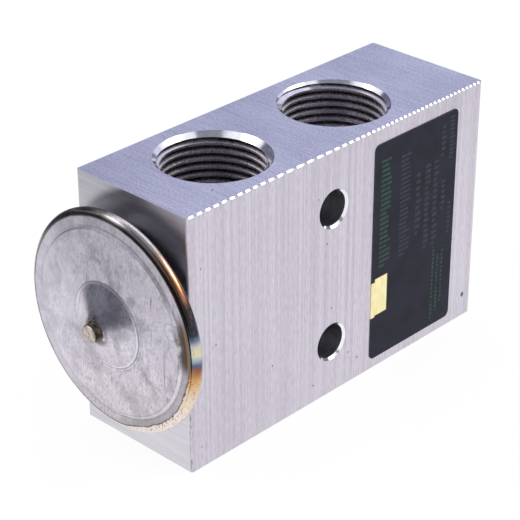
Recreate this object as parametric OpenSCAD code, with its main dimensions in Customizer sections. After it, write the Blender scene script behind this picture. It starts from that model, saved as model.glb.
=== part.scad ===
// Block expansion valve for a refrigeration circuit. An aluminium block carries four tapped ports,
// a power element on its left end and an adjusting screw in its right end. X runs along the valve
// axis towards the adjusting screw, the labelled face looks along -Y, +Z is up, and the origin is the
// centre of the block's bottom face. The valve is drawn as it lies on a bench: full open, with the
// charge of the power element holding the ball off its seat.

/* [Block] */
// Length of the block along the valve axis
block_length = 75; // [74:0.5:80]
// Thickness of the block from the labelled face to the back
block_thickness = 26.2; // [24:0.2:32]
// Height of the block
block_height = 48.5; // [47:0.5:56]
// Chamfer along the long edges of the top and bottom faces
edge_chamfer = 0.5; // [0.2:0.1:1]
// Corner radius of the extruded bar that the block is cut from
bar_radius = 0.5; // [0.2:0.1:1.5]
// Height of the valve axis above the bottom face
axis_height = 26.4; // [25:0.2:28]

/* [Ports] */
// Distance of the suction ports from the end that carries the power element
suction_from_end = 18.95; // [17:0.05:21]
// Distance of the liquid ports from the same end
liquid_from_end = 49.1; // [48:0.1:50]
// Major diameter of the port thread
port_thread_d = 20; // [18:0.5:20]
// Pitch of the port thread
port_pitch = 1.5; // [1:0.25:2]
// Depth of the tapped part of each port
port_depth = 13; // [10:0.5:13.5]
// Diameter of the chamfered mouth of a port
port_mouth_d = 20.5; // [20.2:0.1:22]
// Diameter of the plain suction passage between the two suction ports
passage_d = 16.5; // [14:0.5:17]

/* [Fixing holes] */
// Distance of the two fixing holes from the end that carries the power element
bolt_from_end = 34.9; // [33:0.1:37]
// Height of the lower fixing hole above the bottom face
bolt_low = 10.6; // [9:0.1:12]
// Distance between the two fixing holes
bolt_spacing = 26.6; // [25:0.1:28]
// Diameter of a fixing hole
bolt_d = 6.6; // [5.5:0.1:7]
// Chamfer at each mouth of a fixing hole
bolt_chamfer = 0.4; // [0.2:0.1:0.6]

/* [Power element] */
// Outside diameter of the rolled rim
rim_d = 40; // [38:0.5:44]
// Radius of the rolled rim in section
rim_round = 1.05; // [0.9:0.05:1.2]
// How far the flat edge of the outer cover stands off the block
face_stand_off = 5.5; // [5.3:0.1:7]
// Thickness of the sheet of both covers
cover_sheet = 0.8; // [0.6:0.1:0.9]
// Diameter of the raised field inside the flat edge
field_d = 34; // [32:0.5:35]
// Height of the step up to the raised field
field_step = 0.35; // [0.2:0.05:0.6]
// Rise of the raised field from its step to the foot of the cone
field_rise = 0.4; // [0:0.1:1]
// Diameter of the cone at its foot
cone_foot_d = 15.4; // [13:0.2:18]
// Diameter of the cone at its top
cone_top_d = 4; // [3.6:0.2:6]
// Height of the cone above its foot
cone_height = 2.6; // [1.5:0.1:4]
// Diameter of the charge plug
plug_d = 3.2; // [2.6:0.1:3.4]
// Length of the charge plug that stands out of the cone
plug_length = 1.5; // [0.8:0.1:4]
// Thickness of the diaphragm
diaphragm_sheet = 0.2; // [0.1:0.05:0.3]
// Diameter of the stop plate under the diaphragm
stop_plate_d = 25; // [20:0.5:26]
// Thickness of the stop plate
stop_plate_sheet = 1; // [0.8:0.1:1.2]
// Outside diameter of the neck's thread
neck_thread_d = 17.8; // [16:0.2:18.4]
// Length of the neck's thread
neck_thread_length = 6.5; // [5:0.5:7]
// Diameter of the neck's collar
neck_collar_d = 23; // [22:0.5:25]
// Thickness of the neck's collar
neck_collar = 1.5; // [1.2:0.1:1.6]
// Diameter of the bore through the neck
neck_bore_d = 12; // [11:0.5:12.5]
// Diameter of the spigot that carries the inner cover
neck_spigot_d = 15.6; // [14:0.2:16]

/* [Valve train] */
// How far the ball lifts off its seat
valve_lift = 0.75; // [0.4:0.05:1]
// Diameter of the sensing rod
rod_d = 6; // [5:0.2:6.4]
// Diameter of the push pin
pin_d = 2.4; // [1.6:0.2:2.6]
// Diameter of the ball
ball_d = 5; // [4.4:0.2:5.4]
// Diameter of the orifice that the ball closes
orifice_d = 3.6; // [3.2:0.1:4]
// Length of the pressed-in seat on the rod side of its sharp edge
seat_length = 2.4; // [2:0.1:3]
// Outside diameter of the pressed-in seat
seat_d = 9; // [8:0.2:10]
// Diameter of the flange of the ball carrier
carrier_d = 9.8; // [9.4:0.1:10]
// Thickness of the flange of the ball carrier
carrier_flange = 1.3; // [1:0.1:1.6]
// Thickness of the sheet of the damping clip
clip_sheet = 0.3; // [0.2:0.05:0.4]
// Length of the legs of the damping clip
clip_leg = 4.5; // [3:0.5:5.5]

/* [Superheat spring and adjusting screw] */
// Diameter of the spring chamber
chamber_d = 12; // [11.8:0.1:12.6]
// Wire diameter of the superheat spring
spring_wire_d = 1.1; // [0.8:0.05:1.2]
// Diameter of the spring at the middle of its wire
spring_d = 7.4; // [7:0.1:7.6]
// Turns of the spring, with its two closed ends
spring_turns = 6; // [5:0.5:7]
// Outside diameter of the adjusting screw
screw_d = 14; // [13.6:0.2:16]
// Length of the adjusting screw
screw_length = 9.5; // [9:0.5:11]
// Depth of the adjusting screw below the end of the block
screw_recess = 2.5; // [2:0.1:4]
// How far the adjusting screw can be turned in and out
screw_travel = 1; // [0.5:0.1:1.5]
// Width across the flats of the hexagon socket
hex_flats = 6; // [5:0.5:8]
// Depth of the hexagon socket
hex_depth = 3.6; // [3:0.1:4]
// Diameter of the spring pocket in the adjusting screw
pocket_d = 9.2; // [8.8:0.1:9.4]
// Depth of the spring pocket
pocket_depth = 4; // [3:0.1:4.2]

/* [Seals] */
// Thickness of the seal ring under the power element
neck_seal = 1.3; // [1:0.1:1.6]
// Thickness of the seal ring around the sensing rod
rod_seal = 1.6; // [1.2:0.1:1.8]
// Thickness of the seal ring around the adjusting screw
screw_seal = 1.5; // [1.2:0.1:1.6]
// Thickness of the retainer that holds the rod seal
retainer_sheet = 0.4; // [0.3:0.1:0.6]

/* [Label] */
// Width of the label
label_width = 22.9; // [16:0.1:24]
// Height of the label
label_height = 43.4; // [30:0.1:44]
// Corner radius of the label
label_radius = 1.2; // [0.5:0.1:3]
// Distance of the label from the end that carries the power element
label_from_end = 45.4; // [43:0.1:47]
// Height of the label's lower edge above the bottom face
label_low = 2; // [1:0.1:3]
// Thickness of the label
label_sheet = 0.12; // [0.05:0.01:0.3]

/* [Hidden] */
$fn = 72;

// A cutter runs this far past the face that it opens
past = 1;
// Radial clearance of a sliding, turning or sealed fit
fit = 0.05;
// Clearance between flat pieces that only lie near each other
near = 0.05;
// Depth of an internal thread as a share of its pitch
thread_share = 0.5413;

// Ends of the block, and the places of its features along X
head_end = -block_length / 2;
screw_end = block_length / 2;
suction_x = head_end + suction_from_end;
liquid_x = head_end + liquid_from_end;
bolt_x = head_end + bolt_from_end;
front_y = -block_thickness / 2;
port_minor_r = port_thread_d / 2 - thread_share * port_pitch;
port_mouth_r = port_mouth_d / 2;

// Power element, measured outwards from the end of the block. The rim's rounding starts a little below
// the flat edge, and its lip is turned in under the flange of the inner cover.
rim_drop = 0.15;
flat_edge_over = 0.1;
flange_over = 0.2;
lip_turn = 0.6;
plug_hole_wall = 0.6;
dish_margin = 2.3;
plate_margin = 0.5;
clamp_margin = 2.35;
lid_under = face_stand_off - cover_sheet;
flange_top = lid_under - diaphragm_sheet;
flange_under = flange_top - cover_sheet;
rim_centre = face_stand_off - rim_drop - rim_round;
rim_centre_r = rim_d / 2 - rim_round;
flat_edge_r = rim_centre_r + flat_edge_over;
flange_r = rim_centre_r + flange_over;
lip_r = rim_centre_r - lip_turn;
field_r = field_d / 2;
field_slope = 0.3;
field_edge = face_stand_off + field_step;
cone_foot = field_edge + field_rise;
cone_top = cone_foot + cone_height;
plug_top = cone_top + plug_length;
plug_hole_r = plug_d / 2 - plug_hole_wall;
dish_floor = neck_collar;
dish_inside = dish_floor + cover_sheet;
dish_bend_r = stop_plate_d / 2 + dish_margin;
plate_under = dish_inside + near;
plate_top = plate_under + stop_plate_sheet;
centre_r = stop_plate_d / 2 - plate_margin;
clamp_r = lip_r - clamp_margin;

// Neck and its socket in the block
neck_r = neck_thread_d / 2;
socket_r = neck_r + fit;
socket_spare = 0.5;
socket_depth = neck_thread_length + socket_spare;
seal_pocket_r = neck_r + neck_seal + 2 * fit;
seal_pocket_depth = neck_seal + 2 * fit;

// Sensing rod, its hub and its seal
rod_r = rod_d / 2;
hub_wall = 1.5;
hub_r = rod_r + hub_wall;
hub_length = 2.4;
rod_space = 1.5;
rod_bore_r = rod_r + rod_space;
passage_wall = suction_x + passage_d / 2;
seal_setback = 2.5;
seal_floor = passage_wall + seal_setback;
rod_seal_r = rod_r + fit + rod_seal / 2;
rod_pocket_r = rod_r + rod_seal + 2 * fit;
rod_seal_x = seal_floor - fit - rod_seal / 2;
retainer_x = seal_floor - rod_seal - 2 * fit - retainer_sheet;
rod_guide_length = 3;
rod_end = seal_floor + rod_guide_length;
rod_spare = 0.5;
rod_bore_end = rod_end + valve_lift + rod_spare;

// Push pin, seat and ball; the seat edge is where the ball closes the orifice
pin_r = pin_d / 2;
ball_r = ball_d / 2;
orifice_r = orifice_d / 2;
seat_offset = 0.4;
seat_edge = liquid_x + seat_offset;
seat_cone = 0.5;
seat_face = seat_edge + seat_cone;
seat_back = seat_edge - seat_length;
seat_flare = 0.85;
seat_cone_r = orifice_r + seat_flare;
closed_gap = 0.04;
ball_closed = seat_edge + sqrt(ball_r * ball_r - orifice_r * orifice_r) + closed_gap;
ball_x = ball_closed + valve_lift;
pin_socket = 1.5;
outlet_r = 3.2;
outlet_length = 4.6;
outlet_start = seat_back - outlet_length;
outlet_way_r = 2.2;
outlet_way_x = (outlet_start + seat_back) / 2;
inlet_way_r = 3;
inlet_way_gap = 0.8;
inlet_way_x = seat_face + inlet_way_r + inlet_way_gap;

// Ball carrier, measured from the centre of the ball
cup_front = 0.4;
cup_wall = 0.7;
cup_r = ball_r + cup_wall;
flange_front = 1.6;
flange_back = flange_front + carrier_flange;
stem_r = 2.3;
stem_length = 3.5;
spring_seat = flange_back + clip_sheet;
clip_gap = 0.5;
clip_out = chamber_d / 2 - clip_gap;
clip_margin = 0.1;
clip_leg_width = 2;

// Adjusting screw, its bore and the superheat spring
screw_r = screw_d / 2;
screw_bore_r = screw_r + fit;
screw_face = screw_end - screw_recess;
screw_back = screw_face - screw_length;
screw_spare = 0.5;
screw_bore_start = screw_back - screw_travel - screw_spare;
screw_edge = 0.5;
pocket_floor = screw_back + pocket_depth;
groove_start = 1.1;
groove_width = screw_seal + 2 * fit;
groove_r = screw_bore_r - screw_seal - 2 * fit;
screw_seal_r = screw_bore_r - fit - screw_seal / 2;
spring_start = ball_x + spring_seat;
spring_length = pocket_floor - spring_start;
spring_wire_r = spring_wire_d / 2;
spring_steps = 24;
spring_sides = 10;
closed_coil_share = 1.03;
closed_lead = spring_wire_d * closed_coil_share;
open_turns = spring_turns - 2;
open_lead = (spring_length - spring_wire_d - 2 * closed_lead) / open_turns;

// Label
label_x = head_end + label_from_end;

// Turns local +Z towards the adjusting screw, with its zero at the given X on the valve axis
module on_axis(x) {
    translate([x, 0, axis_height])
        rotate([0, 90, 0])
            children();
}

// Turns local +Z outwards from the end that carries the power element
module on_head() {
    translate([head_end, 0, axis_height])
        rotate([0, -90, 0])
            children();
}

// A bore along the valve axis from one X to another
module axis_bore(x0, x1, r) {
    on_axis(x0)
        cylinder(h = x1 - x0, r = r);
}

// A ring of round section about local Z
module seal_ring(middle_r, section) {
    rotate_extrude()
        translate([middle_r, 0])
            circle(d = section, $fn = 32);
}

// The cut length of extruded bar, with its long top and bottom edges chamfered
module bar_stock() {
    half = block_thickness / 2;
    intersection() {
        translate([head_end, front_y, 0])
            linear_extrude(height = block_height)
                rounded_rectangle(block_length, block_thickness, bar_radius);
        translate([head_end - past, 0, 0])
            rotate([90, 0, 90])
                linear_extrude(height = block_length + 2 * past)
                    polygon([
                        [-half + edge_chamfer, 0],
                        [half - edge_chamfer, 0],
                        [half, edge_chamfer],
                        [half, block_height - edge_chamfer],
                        [half - edge_chamfer, block_height],
                        [-half + edge_chamfer, block_height],
                        [-half, block_height - edge_chamfer],
                        [-half, edge_chamfer]
                    ]);
    }
}

// A rectangle with round corners, its lower left corner at the origin
module rounded_rectangle(w, h, r) {
    translate([r, 0])
        square([w - 2 * r, h]);
    translate([0, r])
        square([w, h - 2 * r]);
    for (x = [r, w - r], y = [r, h - r])
        translate([x, y])
            circle(r = r, $fn = 24);
}

// One tapped port, cut at its minor diameter, with its mouth at local Z 0 and its floor below
module port_bore() {
    bevel = port_mouth_r - port_minor_r;
    rotate_extrude()
        polygon([
            [0, past],
            [port_mouth_r + past, past],
            [port_minor_r, -bevel],
            [port_minor_r, -port_depth],
            [0, -port_depth]
        ]);
}

// Places a port on the top face and the same port on the bottom face
module port_pair(x) {
    translate([x, 0, block_height])
        port_bore();
    translate([x, 0, 0])
        mirror([0, 0, 1])
            port_bore();
}

// A fixing hole through the block along Y, chamfered at both mouths
module fixing_hole(height) {
    half = block_thickness / 2;
    r = bolt_d / 2;
    translate([bolt_x, 0, height])
        rotate([90, 0, 0])
            rotate_extrude()
                polygon([
                    [0, -half - past],
                    [r + bolt_chamfer + past, -half - past],
                    [r, -half + bolt_chamfer],
                    [r, half - bolt_chamfer],
                    [r + bolt_chamfer + past, half + past],
                    [0, half + past]
                ]);
}

// Socket for the neck, its seal ring pocket and the way on to the suction passage
module head_socket() {
    axis_bore(head_end - past, head_end + socket_depth, socket_r);
    axis_bore(head_end - past, head_end + seal_pocket_depth, seal_pocket_r);
    axis_bore(head_end, suction_x, rod_bore_r);
}

// Guide bores of the rod and the pin, with the pocket of the rod seal
module rod_bores() {
    axis_bore(suction_x, seal_floor, rod_pocket_r);
    axis_bore(suction_x, rod_bore_end, rod_r + fit);
    axis_bore(rod_bore_end - past, outlet_start + past, pin_r + fit);
}

// The chambers before and behind the seat and the drilled ways to the liquid ports
module valve_chambers() {
    axis_bore(outlet_start, seat_back + past, outlet_r);
    axis_bore(seat_back, seat_face, seat_d / 2 + near);
    axis_bore(seat_face, screw_bore_start, chamber_d / 2);
    axis_bore(screw_bore_start, screw_end + past, screw_bore_r);
    translate([outlet_way_x, 0, axis_height])
        cylinder(h = block_height - port_depth - axis_height + past, r = outlet_way_r);
    translate([inlet_way_x, 0, port_depth - past])
        cylinder(h = axis_height - port_depth + past, r = inlet_way_r);
}

module valve_block() {
    color("#b9bac8")
        difference() {
            bar_stock();
            port_pair(suction_x);
            translate([suction_x, 0, -past])
                cylinder(h = block_height + 2 * past, d = passage_d);
            port_pair(liquid_x);
            fixing_hole(bolt_low);
            fixing_hole(bolt_low + bolt_spacing);
            head_socket();
            rod_bores();
            valve_chambers();
        }
}

// Outside of the rolled rim as an arc from its top round to its underside
function rim_arc(steps) = [
    for (i = [0 : steps])
        let (turn = 90 - 180 * i / steps)
            [rim_centre_r + rim_round * cos(turn), rim_centre + rim_round * sin(turn)]
];

module outer_cover() {
    lip_under = rim_centre - rim_round;
    color("#a9a8b2")
        on_head()
            rotate_extrude()
                polygon(concat(
                    [
                        [plug_hole_r, cone_top - cover_sheet],
                        [plug_hole_r, cone_top],
                        [cone_top_d / 2, cone_top],
                        [cone_foot_d / 2, cone_foot],
                        [field_r - field_slope, field_edge],
                        [field_r, face_stand_off],
                        [flat_edge_r, face_stand_off]
                    ],
                    rim_arc(16),
                    [
                        [lip_r, lip_under],
                        [lip_r, flange_under],
                        [flange_r, flange_under],
                        [flange_r, lid_under],
                        [field_r - field_slope, lid_under],
                        [field_r - 2 * field_slope, field_edge - cover_sheet],
                        [cone_foot_d / 2 - field_slope, cone_foot - cover_sheet],
                        [cone_top_d / 2 - field_slope, cone_top - cover_sheet]
                    ]
                ));
}

// Plug welded into the cover after charging, with its weld bead
module charge_plug() {
    bead = 0.35;
    shank = 0.4;
    color("#b3a48c")
        on_head()
            rotate_extrude()
                polygon([
                    [0, cone_top - cover_sheet - shank],
                    [plug_hole_r, cone_top - cover_sheet - shank],
                    [plug_hole_r, cone_top],
                    [plug_d / 2 + bead, cone_top],
                    [plug_d / 2, cone_top + bead],
                    [plug_d / 2, plug_top],
                    [0, plug_top]
                ]);
}

// Thin sheet clamped between the covers, pushed down on the stop plate at the middle
module diaphragm() {
    fold = (clamp_r - centre_r) / 3;
    lift = (flange_top - plate_top) / 3;
    line = [
        [0, plate_top],
        [centre_r, plate_top],
        [centre_r + fold, plate_top + 2 * lift],
        [centre_r + 2 * fold, plate_top + lift],
        [clamp_r, flange_top],
        [flange_r - fit, flange_top]
    ];
    color("#c4c4c8")
        on_head()
            rotate_extrude()
                polygon(concat(
                    line,
                    [for (i = [len(line) - 1 : -1 : 0]) line[i] + [0, diaphragm_sheet]]
                ));
}

// Dished cover on the block's side of the diaphragm
module inner_cover() {
    color("#9c9ba4")
        on_head()
            rotate_extrude()
                polygon([
                    [neck_spigot_d / 2 + fit, dish_floor],
                    [dish_bend_r + cover_sheet, dish_floor],
                    [clamp_r + cover_sheet, flange_under],
                    [flange_r - fit, flange_under],
                    [flange_r - fit, flange_top],
                    [clamp_r, flange_top],
                    [dish_bend_r, dish_inside],
                    [neck_spigot_d / 2 + fit, dish_inside]
                ]);
}

// Turned neck that screws into the block and carries the inner cover
module threaded_neck() {
    lead_in = 0.6;
    color("#8f9096")
        on_head()
            rotate_extrude()
                polygon([
                    [neck_bore_d / 2, -neck_thread_length],
                    [neck_r - lead_in, -neck_thread_length],
                    [neck_r, -neck_thread_length + lead_in],
                    [neck_r, 0],
                    [neck_collar_d / 2, 0],
                    [neck_collar_d / 2, neck_collar],
                    [neck_spigot_d / 2, neck_collar],
                    [neck_spigot_d / 2, dish_inside],
                    [neck_bore_d / 2, dish_inside]
                ]);
}

module neck_seal_ring() {
    color("#20242a")
        on_head()
            translate([0, 0, -seal_pocket_depth / 2])
                seal_ring(neck_r + fit + neck_seal / 2, neck_seal);
}

// Plate that carries the middle of the diaphragm, with the hub of the sensing rod
module stop_plate() {
    color("#a8a39a")
        on_head()
            rotate_extrude()
                polygon([
                    [rod_r + fit, plate_under - hub_length],
                    [hub_r, plate_under - hub_length],
                    [hub_r, plate_under],
                    [stop_plate_d / 2, plate_under],
                    [stop_plate_d / 2, plate_top],
                    [0, plate_top],
                    [0, plate_top - stop_plate_sheet / 2],
                    [rod_r + fit, plate_top - stop_plate_sheet / 2]
                ]);
}

module sensing_rod() {
    start = head_end - plate_top + stop_plate_sheet / 2;
    color("#c9cacd")
        difference() {
            axis_bore(start, rod_end, rod_r);
            axis_bore(rod_end - pin_socket, rod_end + past, pin_r + fit);
        }
}

module rod_seal_ring() {
    color("#1f2328")
        on_axis(rod_seal_x)
            seal_ring(rod_seal_r, rod_seal);
}

// Sprung washer that keeps the rod seal in its pocket
module seal_retainer() {
    color("#8c8f94")
        on_axis(retainer_x)
            difference() {
                cylinder(h = retainer_sheet, r = rod_pocket_r - fit);
                translate([0, 0, -past])
                    cylinder(h = retainer_sheet + 2 * past, r = rod_r + 3 * fit);
            }
}

module push_pin() {
    color("#d0d1d4")
        axis_bore(rod_end - pin_socket + near, ball_x - ball_r - near / 2, pin_r);
}

// Hard seat pressed into the block, with the orifice and its sharp edge
module valve_seat() {
    color("#7f8288")
        on_axis(seat_back)
            rotate_extrude()
                polygon([
                    [orifice_r, 0],
                    [seat_d / 2, 0],
                    [seat_d / 2, seat_face - seat_back],
                    [seat_cone_r, seat_face - seat_back],
                    [orifice_r, seat_edge - seat_back]
                ]);
}

module valve_ball() {
    color("#e0e1e4")
        on_axis(ball_x)
            sphere(r = ball_r);
}

// Turned carrier behind the ball, with a flange for the spring and a stem inside it
module ball_carrier() {
    color("#b5a77a")
        difference() {
            on_axis(ball_x)
                rotate_extrude()
                    polygon([
                        [0, cup_front],
                        [cup_r, cup_front],
                        [cup_r, flange_front],
                        [carrier_d / 2, flange_front],
                        [carrier_d / 2, flange_back],
                        [stem_r, flange_back],
                        [stem_r, flange_back + stem_length],
                        [0, flange_back + stem_length]
                    ]);
            on_axis(ball_x)
                sphere(r = ball_r + near);
        }
}

// Sheet ring under the spring whose four legs rub along the chamber and damp the ball
module damping_clip() {
    color("#9a9da3")
        on_axis(ball_x + flange_back) {
            difference() {
                cylinder(h = clip_sheet, r = carrier_d / 2 - clip_margin);
                translate([0, 0, -past])
                    cylinder(h = clip_sheet + 2 * past, r = stem_r + fit);
            }
            for (turn = [0 : 90 : 270])
                rotate([0, 0, turn]) {
                    translate([spring_d / 2, -clip_leg_width / 2, 0])
                        cube([clip_out - spring_d / 2, clip_leg_width, clip_sheet]);
                    translate([clip_out - clip_sheet, -clip_leg_width / 2, 0])
                        cube([clip_sheet, clip_leg_width, clip_leg]);
                }
        }
}

// Height of the wire's middle after a number of turns: closed, open, closed
function coil_height(turn) =
    turn < 1 ? turn * closed_lead
    : turn < 1 + open_turns ? closed_lead + (turn - 1) * open_lead
    : closed_lead + open_turns * open_lead + (turn - 1 - open_turns) * closed_lead;

function coil_ring(turn) = [
    for (i = [0 : spring_sides - 1])
        let (
            side = 360 * i / spring_sides,
            r = spring_d / 2 + spring_wire_r * cos(side),
            angle = 360 * turn
        )
            [r * cos(angle), r * sin(angle), coil_height(turn) + spring_wire_r * (1 + sin(side))]
];

module superheat_spring() {
    rings = spring_turns * spring_steps;
    points = [for (i = [0 : rings]) each coil_ring(i / spring_steps)];
    sides = [
        for (i = [0 : rings - 1], j = [0 : spring_sides - 1])
            let (
                a = i * spring_sides,
                k = (j + 1) % spring_sides
            )
                [a + j, a + spring_sides + j, a + spring_sides + k, a + k]
    ];
    near_end = [for (j = [0 : spring_sides - 1]) j];
    far_end = [for (j = [spring_sides - 1 : -1 : 0]) rings * spring_sides + j];
    color("#b8bbc0")
        on_axis(spring_start)
            polyhedron(points = points, faces = concat(sides, [near_end, far_end]));
}

// Hollow screw with a hexagon socket outside, a spring pocket inside and a seal groove
module adjusting_screw() {
    hex_r = hex_flats / 2 / cos(30);
    groove_end = groove_start + groove_width;
    color("#bfa96a")
        on_axis(screw_back)
            difference() {
                rotate_extrude()
                    polygon([
                        [0, pocket_depth],
                        [pocket_d / 2, pocket_depth],
                        [pocket_d / 2, 0],
                        [screw_r - screw_edge, 0],
                        [screw_r, screw_edge],
                        [screw_r, groove_start],
                        [groove_r, groove_start],
                        [groove_r, groove_end],
                        [screw_r, groove_end],
                        [screw_r, screw_length - screw_edge],
                        [screw_r - screw_edge, screw_length],
                        [0, screw_length]
                    ]);
                translate([0, 0, screw_length - hex_depth])
                    cylinder(h = hex_depth + past, r = hex_r, $fn = 6);
            }
}

module screw_seal_ring() {
    color("#20242a")
        on_axis(screw_back + groove_start + groove_width / 2)
            seal_ring(screw_seal_r, screw_seal);
}

module label() {
    color("#2c2f3c")
        translate([label_x, front_y, label_low])
            rotate([90, 0, 0])
                linear_extrude(height = label_sheet)
                    rounded_rectangle(label_width, label_height, label_radius);
}

valve_block();
outer_cover();
charge_plug();
diaphragm();
inner_cover();
threaded_neck();
neck_seal_ring();
stop_plate();
sensing_rod();
rod_seal_ring();
seal_retainer();
push_pin();
valve_seat();
valve_ball();
ball_carrier();
damping_clip();
superheat_spring();
adjusting_screw();
screw_seal_ring();
label();
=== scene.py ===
import math

import bmesh
import bpy
from mathutils import Matrix, Vector


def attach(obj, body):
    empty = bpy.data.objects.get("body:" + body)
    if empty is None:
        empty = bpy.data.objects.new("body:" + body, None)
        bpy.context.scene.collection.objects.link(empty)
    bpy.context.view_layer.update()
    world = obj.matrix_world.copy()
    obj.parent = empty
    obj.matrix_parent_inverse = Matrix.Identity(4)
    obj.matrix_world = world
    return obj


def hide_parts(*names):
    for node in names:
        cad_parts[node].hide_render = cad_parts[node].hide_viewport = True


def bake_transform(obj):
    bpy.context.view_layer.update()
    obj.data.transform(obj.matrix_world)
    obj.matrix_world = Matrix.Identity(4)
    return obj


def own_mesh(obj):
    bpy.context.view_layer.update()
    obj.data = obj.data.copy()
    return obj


# The looks of a block expansion valve, in metres: X along the valve axis from the power element to the
# adjusting screw, -Y out of the labelled face, +Z up out of the tapped ports.
MM = 0.001
# Points closer than this are one point
SAME_POINT = 0.0001 * MM

# Block
BLOCK_LENGTH = 75.0 * MM
BLOCK_THICKNESS = 26.2 * MM
BLOCK_HEIGHT = 48.5 * MM
HEAD_END = -BLOCK_LENGTH / 2
SCREW_END = BLOCK_LENGTH / 2
FRONT = -BLOCK_THICKNESS / 2
AXIS_HEIGHT = 26.4 * MM
BAR_RADIUS = 0.5 * MM
EDGE_CHAMFER = 0.06 * MM
# Its finishes, in the order of its material slots
DRAWN, MILLED, FACED, BRIGHT, THREADED, DRILLED = range(6)

# Ports and their threads
SUCTION_X = -18.55 * MM
LIQUID_X = 11.6 * MM
PORT_DEPTH = 13.0 * MM
PORT_MOUTH_R = 10.25 * MM
THREAD_MAJOR_R = 10.0 * MM
THREAD_PITCH = 1.5 * MM
THREAD_MINOR_R = THREAD_MAJOR_R - 0.5413 * THREAD_PITCH
THREAD_END = 12.2 * MM
PORT_STEPS = 112
# Angle in degrees at which the thread of the upper liquid port starts
LIQUID_THREAD_START = -144
PASSAGE_R = 8.25 * MM

# Fixing holes
BOLT_X = -2.6 * MM
BOLT_HEIGHTS = (10.6 * MM, 37.2 * MM)
BOLT_R = 3.3 * MM
BOLT_CHAMFER = 0.4 * MM

# Bores along the valve axis, as where each ends and its radius, from the power element to the screw
AXIS_BORES = (
    (-36.1, 10.3), (-30.5, 8.95), (-18.55, 4.5), (-7.8, 4.7), (-3.55, 3.05),
    (5.0, 1.25), (9.6, 3.2), (12.5, 4.55), (24.0, 6.0), (38.5, 7.05),
)
OUTLET_WAY = (7.3 * MM, 2.2 * MM)
INLET_WAY = (16.3 * MM, 3.0 * MM)

# Chatter marks that the milling cutter left along the front top edge: place along X and spacing there,
# in millimetres
CHATTER = ((-37.5, 1.9), (-22.0, 1.75), (-13.0, 2.6), (-5.0, 2.15), (3.0, 1.5), (9.0, 1.2), (37.5, 1.1))
CHATTER_DEPTH = 0.18 * MM
CHATTER_SHARE = 0.92

# Power element, as radius and distance out from the end of the block
COVER_SHEET = 0.8 * MM
FACE_STAND_OFF = 5.5 * MM
RIM_R = 18.95 * MM
RIM_ROUND = 1.05 * MM
RIM_CENTRE = 4.3 * MM
FIELD_R = 17.0 * MM
FIELD_EDGE = 5.85 * MM
CONE_FOOT = 6.25 * MM
CONE_FOOT_R = 7.7 * MM
CONE_TOP = 8.85 * MM
CONE_TOP_R = 2.0 * MM
# Heat tint round the rim with painted highlights and painted black reflections in it, from its back (0)
# under it and past its front (0.5) over its top (1): cream highlights under the front, white over the upper
# front, black over the top
RIM_TINT = [
    (0.0, (0.42, 0.38, 0.35)), (0.19, (0.6, 0.53, 0.46)), (0.3, (0.84, 0.75, 0.7)),
    (0.4, (0.86, 0.76, 0.7)), (0.445, (0.82, 0.68, 0.52)), (0.475, (0.68, 0.4, 0.15)),
    (0.492, (0.3, 0.12, 0.05)), (0.499, (0.05, 0.08, 0.2)), (0.507, (0.36, 0.47, 0.52)),
    (0.516, (0.74, 0.68, 0.44)), (0.527, (0.6, 0.57, 0.5)), (0.535, (0.14, 0.22, 0.33)),
    (0.544, (0.03, 0.035, 0.06)), (0.58, (0.05, 0.04, 0.035)), (0.6, (0.5, 0.2, 0.09)),
    (0.625, (0.98, 0.5, 0.26)), (0.65, (1.0, 0.68, 0.5)), (0.67, (1.0, 0.92, 0.92)),
    (0.725, (1.0, 0.94, 0.95)), (0.76, (0.14, 0.12, 0.125)), (0.84, (0.09, 0.085, 0.085)),
    (0.9, (0.3, 0.27, 0.25)), (1.0, (0.42, 0.38, 0.35)),
]
# Two round stamp marks on the cover's face, as millimetres across and up from its middle
STAMPS = ((11.4, 13.2), (-15.0, 4.6))
# Colours of the fine lines and rings on the cover's face; PALE_LINE also paints the highlight along the
# lower side of the step
DARK_LINE = (0.16, 0.15, 0.16)
FAINT_LINE = (0.2, 0.19, 0.2)
PALE_LINE = (0.97, 0.93, 1.0)
PLUG_R = 1.6 * MM
PLUG_HOLE_R = PLUG_R - 0.6 * MM
PLUG_TOP = 10.35 * MM

# Nicks in the front face: distance from the head end, height and radius, in millimetres
FRONT_NICKS = (
    (72.57, 4.71, 0.42), (33.26, 31.03, 0.16), (34.77, 17.62, 0.14), (31.01, 40.37, 0.13),
    (19.64, 12.45, 0.15), (30.18, 3.55, 0.17), (6.01, 22.72, 0.15), (2.3, 4.2, 0.13),
)

# Label
LABEL = (7.9 * MM, 2.0 * MM, 22.9 * MM, 43.4 * MM)
LABEL_CORNER = 1.2 * MM
LABEL_SHEET = 0.12 * MM
# Printed bars as left, right, bottom, top, pitch and inked share of the pitch, in millimetres from the
# head end and from the block's bottom
GREEN_PRINT = (
    (47.2, 50.2, 20.6, 42.4, 0.95, 0.5), (62.6, 63.2, 3.4, 19.0, 0.9, 0.6),
    (63.9, 64.5, 4.6, 16.8, 0.8, 0.6), (65.2, 65.8, 6.2, 18.2, 0.9, 0.55),
)
GREY_PRINT = (
    (52.6, 55.6, 20.8, 41.6, 0.9, 0.5), (57.0, 58.5, 23.4, 36.4, 1.3, 0.6),
    (59.6, 61.1, 19.6, 37.2, 1.1, 0.65), (62.0, 63.4, 19.4, 36.8, 1.2, 0.6),
    (64.4, 65.5, 26.0, 32.0, 1.1, 0.6), (66.5, 67.4, 20.4, 27.0, 1.0, 0.55),
    (63.9, 65.1, 37.0, 43.6, 1.1, 0.6), (66.2, 67.7, 35.8, 44.4, 0.8, 0.55),
)
# Yellow patch in two overlapping parts, and the label inside its border, as left, right, bottom and top
YELLOW_PATCH = ((44, 46.4, 10.8, 18.1), (46.3, 49.67, 11.1, 18.7))
LABEL_FIELD = (45.55, 68.15, 2.15, 45.25)

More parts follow.
